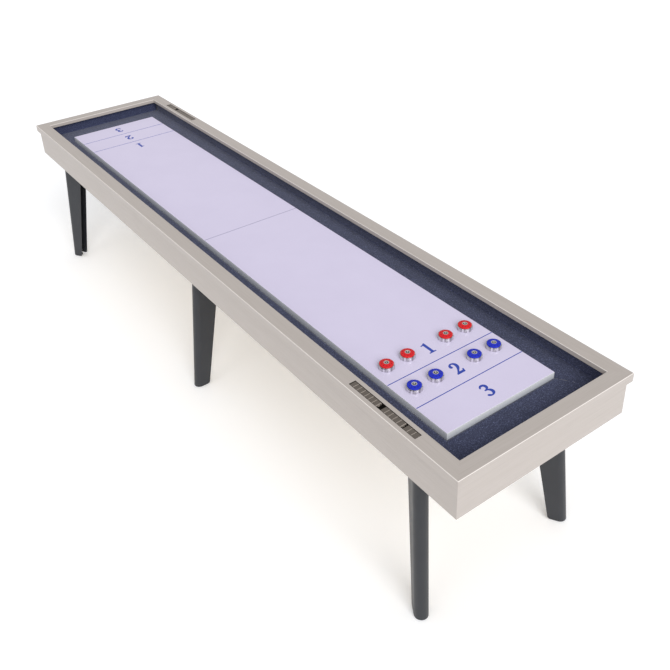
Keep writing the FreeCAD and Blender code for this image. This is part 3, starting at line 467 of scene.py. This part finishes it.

# ---------------------------------------------------------------------------------------------
# Scorers: a black moulded tray let in flush, two blackened steel rods, and moulded grey-brown
# tiles whose bevels carry a painted highlight.
# ---------------------------------------------------------------------------------------------
SPARK_GRAIN = 0.9 * MM       # the mould's spark texture is finer than this, and wouldn't show
TILE_EDGE = 0.5 * MM         # the round on a tile's edges


def moulded_plastic(name, code, rough):
    """Injection-moulded plastic: even colour, a fine spark texture, slight gloss changes, and
    painted shade in pressed hollows."""
    material, tree, shader = new_material(name)
    place = add(tree, "TexCoord").outputs["Object"]
    spark = add(tree, "TexNoise", {"Vector": place, "Scale": 1 / SPARK_GRAIN, "Detail": 2.0})
    flow = add(tree, "TexNoise", {"Vector": place, "Scale": 1 / (18 * MM), "Detail": 2.0})
    deeper = tuple(part * 0.82 for part in colour(code)[:3]) + (1.0,)
    hollow_shade = tuple(part * 0.15 for part in colour(code)[:3]) + (1.0,)
    even = add(tree, "Mix", {0: flow.outputs["Fac"], 6: colour(code), 7: deeper},
               data_type="RGBA")
    # Painted shade: the deeper a point lies in a pressed dimple, the darker its colour.
    hollow = add(tree, "Attribute", attribute_name="pressed").outputs["Fac"]
    base = add(tree, "Mix", {0: hollow, 6: even.outputs[2], 7: hollow_shade}, data_type="RGBA")
    gloss = add(tree, "MapRange", {"Value": spark.outputs["Fac"], "To Min": rough - 0.06,
                                   "To Max": rough + 0.08})
    bump = add(tree, "Bump", {"Height": spark.outputs["Fac"], "Strength": 0.15,
                              "Distance": 0.08 * MM})
    finish_with(tree, shader, base.outputs[2], gloss.outputs[0], bump.outputs[0])
    shader.inputs["Specular IOR Level"].default_value = 0.35
    return material


def tile_plastic_painted_bevel_highlight():
    """Moulded tile: dark on its face, with a painted highlight on its bevels, where the normal
    leans.
    """
    material, tree, shader = new_material("tile_plastic_painted_bevel_highlight")
    place = add(tree, "TexCoord").outputs["Object"]
    grime = add(tree, "TexNoise", {"Vector": place, "Scale": 1 / (5 * MM), "Detail": 3.0})
    face = add(tree, "Mix", {0: grime.outputs["Fac"], 6: colour("#4F4842"),
                             7: colour("#675E56")}, data_type="RGBA")
    lean = add(tree, "SeparateXYZ", {0: add(tree, "TexCoord").outputs["Normal"]})
    # Painted highlight: faces whose normal leans from straight up are mixed towards a paler
    # colour.
    flat = add(tree, "MapRange", {"Value": lean.outputs["Z"], "From Min": 0.75,
                                  "From Max": 0.98})
    base = add(tree, "Mix", {0: flat.outputs[0], 6: colour("#8F867E"), 7: face.outputs[2]},
               data_type="RGBA")
    gloss = add(tree, "MapRange", {"Value": grime.outputs["Fac"], "To Min": 0.35,
                                   "To Max": 0.5})
    finish_with(tree, shader, base.outputs[2], gloss.outputs[0])
    return material


def plated_steel(name, code, rough):
    """Plated or blackened steel: bare metal with a faint cloud in its gloss."""
    material, tree, shader = new_material(name)
    place = add(tree, "TexCoord").outputs["Object"]
    cloud = add(tree, "TexNoise", {"Vector": place, "Scale": 1 / (6 * MM), "Detail": 3.0})
    dimmer = tuple(part * 0.88 for part in colour(code)[:3]) + (1.0,)
    base = add(tree, "Mix", {0: cloud.outputs["Fac"], 6: colour(code), 7: dimmer},
               data_type="RGBA")
    gloss = add(tree, "MapRange", {"Value": cloud.outputs["Fac"], "To Min": rough,
                                   "To Max": rough + 0.1})
    finish_with(tree, shader, base.outputs[2], gloss.outputs[0])
    shader.inputs["Metallic"].default_value = 1.0
    return material


dress(["scorer_tray_left", "scorer_tray_right"],
      moulded_plastic("black_tray_plastic", "#191511", 0.5))
dress(["scorer_rods_left", "scorer_rods_right"], plated_steel("blackened_steel", "#2A2928", 0.4))
tile_plastic = tile_plastic_painted_bevel_highlight()
for name in nodes:
    if name.startswith("scorer_tiles_"):
        dress([name], tile_plastic)
        softened = nodes[name].modifiers.new("softened_edges", "BEVEL")
        softened.width = TILE_EDGE
        softened.segments = 2
        softened.angle_limit = math.radians(30)

# ---------------------------------------------------------------------------------------------
# Legs: steel channels folded round a former, tapered, with charcoal powder coat baked on. A top
# plate is welded on and bolted up into a leg board; a plate inside the bottom holds the foot.
# ---------------------------------------------------------------------------------------------
FOLD_EDGE = 0.8 * MM         # the round that the coat leaves on a folded sheet's edges


def powder_coat(name, code):
    """Baked powder: charcoal, satin, with a fine orange peel and a few dull patches."""
    material, tree, shader = new_material(name)
    place = add(tree, "TexCoord").outputs["Object"]
    peel = add(tree, "TexNoise", {"Vector": place, "Scale": 1 / (2.2 * MM), "Detail": 2.0})
    patch = add(tree, "TexNoise", {"Vector": place, "Scale": 1 / (80 * MM), "Detail": 3.0})
    deeper = tuple(part * 0.8 for part in colour(code)[:3]) + (1.0,)
    base = add(tree, "Mix", {0: patch.outputs["Fac"], 6: colour(code), 7: deeper},
               data_type="RGBA")
    gloss = add(tree, "MapRange", {"Value": patch.outputs["Fac"], "To Min": 0.36,
                                   "To Max": 0.5})
    bump = add(tree, "Bump", {"Height": peel.outputs["Fac"], "Strength": 0.2,
                              "Distance": 0.1 * MM})
    finish_with(tree, shader, base.outputs[2], gloss.outputs[0], bump.outputs[0])
    return material


charcoal = powder_coat("charcoal_powder_coat", "#282A2F")
leg_names = [name for name in nodes
             if name.startswith("leg_") and name.endswith(("left", "right"))]
dress(leg_names + ["leg_top_plates", "foot_plates"], charcoal)
dress(["leg_bolts"], plated_steel("zinc_plated_steel", "#B9BABD", 0.28))
for name in leg_names:
    edges = nodes[name].modifiers.new("folded_edges", "BEVEL")
    edges.width = FOLD_EDGE
    edges.segments = 2
    edges.angle_limit = math.radians(35)

# ---------------------------------------------------------------------------------------------
# Levelling feet: a black nylon pad moulded on a zinc-plated screw. The screw turns up through the
# plate across the leg's bottom, and the pad stands on the floor.
# ---------------------------------------------------------------------------------------------
PAD_HIGH = 8 * MM


def pad_and_screw():
    """Black nylon with a fine spark texture up to the pad's top, and bright plating above it."""
    material, tree, shader = new_material("nylon_pad_on_zinc_screw")
    place = add(tree, "TexCoord").outputs["Object"]
    spark = add(tree, "TexNoise", {"Vector": place, "Scale": 1 / (1.2 * MM), "Detail": 2.0})
    screw = add(tree, "MapRange", {
        "Value": add(tree, "SeparateXYZ", {0: place}).outputs["Z"],
        "From Min": PAD_HIGH, "From Max": PAD_HIGH + 0.1 * MM}).outputs[0]
    nylon = add(tree, "Mix", {0: spark.outputs["Fac"], 6: colour("#1C1C1E"),
                              7: colour("#141416")}, data_type="RGBA")
    base = add(tree, "Mix", {0: screw, 6: nylon.outputs[2], 7: colour("#C4C5C8")},
               data_type="RGBA")
    gloss = add(tree, "MapRange", {"Value": spark.outputs["Fac"], "To Min": 0.38,
                                   "To Max": 0.5})
    shine = add(tree, "Mix", {0: screw, 2: gloss.outputs[0], 3: 0.25}, data_type="FLOAT")
    finish_with(tree, shader, base.outputs[2], shine.outputs[0])
    tree.links.new(screw, shader.inputs["Metallic"])
    return material


dress([name for name in nodes if name.startswith("levelling_foot_")], pad_and_screw())

# ---------------------------------------------------------------------------------------------
# Weights: a steel body turned on a lathe and chromed, with a moulded plastic cap screwed down on
# its boss. The cap has a ring of grip dimples and a plain turned badge pressed into its middle.
# ---------------------------------------------------------------------------------------------
AROUND = 160                 # points round a turned piece
DIMPLES = 10
DIMPLE_RING = 18.5 * MM
DIMPLE_RADIUS = 2.6 * MM
DIMPLE_DEEP = 1.4 * MM
CAP_SHOULDER = 3.9           # millimetres up a cap, where its domed top starts


def turned(name, outline, middle, dimples=0):
    """A closed solid of revolution from a half-outline of radius and height, in millimetres,
    that starts and ends on the axis. Dimples are pressed into its upper face, and the depth of
    each point in them is kept for the material."""
    form = bmesh.new()
    pressed = form.verts.layers.float.new("pressed")
    rings = []
    for radius, height in outline:
        if radius == 0:
            rings.append([form.verts.new((middle.x, middle.y, middle.z + height * MM))])
            continue
        ring = []
        for step in range(AROUND):
            angle = 2 * math.pi * step / AROUND
            flat = Vector((math.cos(angle), math.sin(angle), 0)) * radius * MM
            drop = 0.0
            if dimples and radius * MM > DIMPLE_RING - DIMPLE_RADIUS and height > CAP_SHOULDER:
                nearest = round(angle / (2 * math.pi) * dimples) * 2 * math.pi / dimples
                spot = Vector((math.cos(nearest), math.sin(nearest), 0)) * DIMPLE_RING
                near = (flat - spot).length / DIMPLE_RADIUS
                drop = DIMPLE_DEEP * math.cos(near * math.pi / 2) if near < 1 else 0.0
            ring.append(form.verts.new(middle + flat + Vector((0, 0, height * MM - drop))))
            ring[-1][pressed] = drop / DIMPLE_DEEP
        rings.append(ring)
    for lower, upper in zip(rings, rings[1:]):
        for step in range(AROUND):
            after = (step + 1) % AROUND
            if len(lower) == 1:
                form.faces.new((lower[0], upper[after], upper[step]))
            elif len(upper) == 1:
                form.faces.new((lower[step], lower[after], upper[0]))
            else:
                form.faces.new((lower[step], lower[after], upper[after], upper[step]))
    bmesh.ops.recalc_face_normals(form, faces=form.faces)
    for face in form.faces:
        face.smooth = True
    mesh = bpy.data.meshes.new(name)
    form.to_mesh(mesh)
    form.free()
    mesh.set_sharp_from_angle(angle=math.radians(40))
    return mesh


# The steel rides just clear of the printed ink.
STEEL_OUTLINE = [(0, 0.5), (22, 0.5), (23, 0.1), (28.3, 0.1), (29.0, 0.3), (29.35, 0.9),
                 (29.35, 15.1), (29.0, 15.75), (28.3, 16), (8, 16), (8, 18.9), (0, 18.9)]
CAP_OUTLINE = [(0, 3.05), (8.05, 3.05), (8.05, 0.02), (25.4, 0.02), (26, 0.5), (26, 3.2),
               (25.75, 3.75), (25.1, 4.1)]
CAP_OUTLINE += [(24.6 - step * 0.5, 4.25 + 2.55 * (step / 26) ** 0.85) for step in range(27)]
CAP_OUTLINE += [(11.2, 6.95), (10.6, 6.95), (10.3, 6.7), (10.25, 6.4), (0, 6.4)]
BADGE_OUTLINE = [(0, 6.42), (10.1, 6.42), (10.1, 7.0), (9.7, 7.25), (7.2, 7.25), (6.9, 7.0),
                 (6.7, 6.6), (3.4, 6.6), (3.2, 7.0), (2.9, 7.1), (0, 7.1)]


STEEL_WIDE = 58.7 * MM
STEEL_TALL = 18.8 * MM       # with its boss
STREAK_WIDE = STEEL_WIDE / 7   # one painted reflection streak to about 8.4 mm
STREAK_LONG = 94 * MM
LATHE_RING = 0.5 * MM        # the rings' spacing up the side
RING_DRIFT = 50 * MM         # how far round or across before a ring's depth changes


def turned_chrome():
    """Chromed steel: mirror-bright, with soft upright streaks of painted reflection, and the
    lathe's fine rings left under the plating."""
    material, tree, shader = new_material("turned_chromed_steel")
    coordinates = add(tree, "TexCoord")
    ring_scale = (1 / RING_DRIFT, 1 / RING_DRIFT, 1 / LATHE_RING)
    streak_scale = (STEEL_WIDE / STREAK_WIDE, STEEL_WIDE / STREAK_WIDE, STEEL_TALL / STREAK_LONG)
    reflection_streaks = add(tree, "TexNoise", {
        "Vector": add(tree, "Mapping", {"Vector": coordinates.outputs["Generated"],
                                        "Scale": streak_scale}).outputs[0],
        "Scale": 1.0, "Detail": 3.0})
    rings = add(tree, "TexNoise", {
        "Vector": add(tree, "Mapping", {"Vector": coordinates.outputs["Object"],
                                        "Scale": ring_scale}).outputs[0],
        "Scale": 1.0, "Detail": 3.0})
    # Painted reflection: upright streaks in the base colour, from mid grey to near white.
    painted_reflection = add(tree, "MapRange", {"Value": reflection_streaks.outputs["Fac"], "From Min": 0.4,
                                  "From Max": 0.6})
    base = add(tree, "Mix", {0: painted_reflection.outputs[0], 6: colour("#A19FA0"), 7: colour("#F4F3F3")},
               data_type="RGBA")
    gloss = add(tree, "MapRange", {"Value": rings.outputs["Fac"], "To Min": 0.06,
                                   "To Max": 0.2})
    bump = add(tree, "Bump", {"Height": rings.outputs["Fac"], "Strength": 0.15,
                              "Distance": 0.05 * MM})
    finish_with(tree, shader, base.outputs[2], gloss.outputs[0], bump.outputs[0])
    shader.inputs["Metallic"].default_value = 1.0
    return material


BADGE_WIDE = 20.2 * MM
GROOVE_INSIDE = (3.03 * MM, 3.33 * MM)     # from the boss's edge to full enamel
GROOVE_OUTSIDE = (6.57 * MM, 6.87 * MM)    # from full enamel to the rim's edge
NICKEL_CLOUD = 3.37 * MM


def enamelled_badge():
    """A plain turned badge: a satin nickel rim and boss, with black enamel in the groove."""
    material, tree, shader = new_material("nickel_badge_with_black_enamel")
    place = add(tree, "TexCoord").outputs["Generated"]
    centred = add(tree, "Mapping", {"Vector": place, "Location": (-0.5, -0.5, 0),
                                    "Scale": (1, 1, 0)}).outputs[0]
    away = add(tree, "VectorMath", {0: centred}, operation="LENGTH").outputs["Value"]
    outside = add(tree, "MapRange", {"Value": away, "From Min": GROOVE_OUTSIDE[0] / BADGE_WIDE,
                                     "From Max": GROOVE_OUTSIDE[1] / BADGE_WIDE})
    inside = add(tree, "MapRange", {"Value": away, "From Min": GROOVE_INSIDE[1] / BADGE_WIDE,
                                    "From Max": GROOVE_INSIDE[0] / BADGE_WIDE})
    metal = add(tree, "Math", {0: outside.outputs[0], 1: inside.outputs[0]},
                operation="ADD", use_clamp=True).outputs[0]
    cloud = add(tree, "TexNoise", {"Vector": place, "Scale": BADGE_WIDE / NICKEL_CLOUD,
                                   "Detail": 3.0})
    nickel = add(tree, "Mix", {0: cloud.outputs["Fac"], 6: colour("#E6E4E0"),
                               7: colour("#CFCCC6")}, data_type="RGBA")
    base = add(tree, "Mix", {0: metal, 6: colour("#121214"), 7: nickel.outputs[2]},
               data_type="RGBA")
    gloss = add(tree, "MapRange", {"Value": cloud.outputs["Fac"], "To Min": 0.25,
                                   "To Max": 0.38})
    finish_with(tree, shader, base.outputs[2], gloss.outputs[0])
    tree.links.new(metal, shader.inputs["Metallic"])
    return material


chrome = turned_chrome()
badge_finish = enamelled_badge()
cap_plastic = {"red": moulded_plastic("red_cap_plastic", "#D9141F", 0.42),
               "blue": moulded_plastic("blue_cap_plastic", "#1428BE", 0.42)}
for team, plastic in cap_plastic.items():
    for number in range(1, 5):
        low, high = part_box(f"weight_{team}_{number}")
        middle = Vector(((low.x + high.x) / 2, (low.y + high.y) / 2, low.z))
        body = f"puck_{team}_{number}"
        steel = new_piece(f"steel_{team}_{number}",
                          turned(f"steel_{team}_{number}", STEEL_OUTLINE, middle),
                          chrome, body)
        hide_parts(f"weight_{team}_{number}")
        cap_foot = Vector((middle.x, middle.y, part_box(f"cap_{team}_{number}")[0].z))
        top = new_piece(f"top_{team}_{number}",
                        turned(f"top_{team}_{number}", CAP_OUTLINE, cap_foot, DIMPLES),
                        plastic, body)
        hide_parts(f"cap_{team}_{number}")
        new_piece(f"badge_{team}_{number}",
                  turned(f"badge_{team}_{number}", BADGE_OUTLINE, cap_foot),
                  badge_finish, body)

# ---------------------------------------------------------------------------------------------
# Floor and light: a plain white floor that is lit from below as well, a broad key from past the
# near end, a low fill from the left, and an even sky.
# ---------------------------------------------------------------------------------------------
FLOOR_REACH = 40             # metres from the table's middle to each side of the floor
floor_mesh = bpy.data.meshes.new("floor")
floor_mesh.from_pydata([(-FLOOR_REACH, -FLOOR_REACH, 0), (FLOOR_REACH, -FLOOR_REACH, 0),
                        (FLOOR_REACH, FLOOR_REACH, 0), (-FLOOR_REACH, FLOOR_REACH, 0)],
                       [], [(0, 1, 2, 3)])
floor = bpy.data.objects.new("floor", floor_mesh)
bpy.context.scene.collection.objects.link(floor)
# Matt white acrylic, evenly lit from below so that shadows on it stay faint.
material, tree, shader = new_material("matt_white_floor")
shader.inputs["Base Color"].default_value = colour("#F3F4F6")
shader.inputs["Emission Color"].default_value = colour("#FFFFFF")
shader.inputs["Emission Strength"].default_value = 0.18
shader.inputs["Roughness"].default_value = 0.9
floor_mesh.materials.append(material)


def soft_light(name, energy, spread, turn):
    """A distant light as wide as a large softbox. Angles are in degrees."""
    lamp = bpy.data.lights.new(name, "SUN")
    lamp.energy = energy
    lamp.angle = math.radians(spread)
    light = bpy.data.objects.new(name, lamp)
    light.rotation_euler = [math.radians(angle) for angle in turn]
    bpy.context.scene.collection.objects.link(light)


soft_light("key_light", 2.1, 40, (0, 55, -15))
soft_light("fill_light", 0.35, 40, (0, 62, -75))
sky = bpy.data.worlds.new("even_sky")
sky.use_nodes = True
sky.node_tree.nodes["Background"].inputs["Color"].default_value = colour("#FFFFFF")
sky.node_tree.nodes["Background"].inputs["Strength"].default_value = 0.6
bpy.context.scene.world = sky
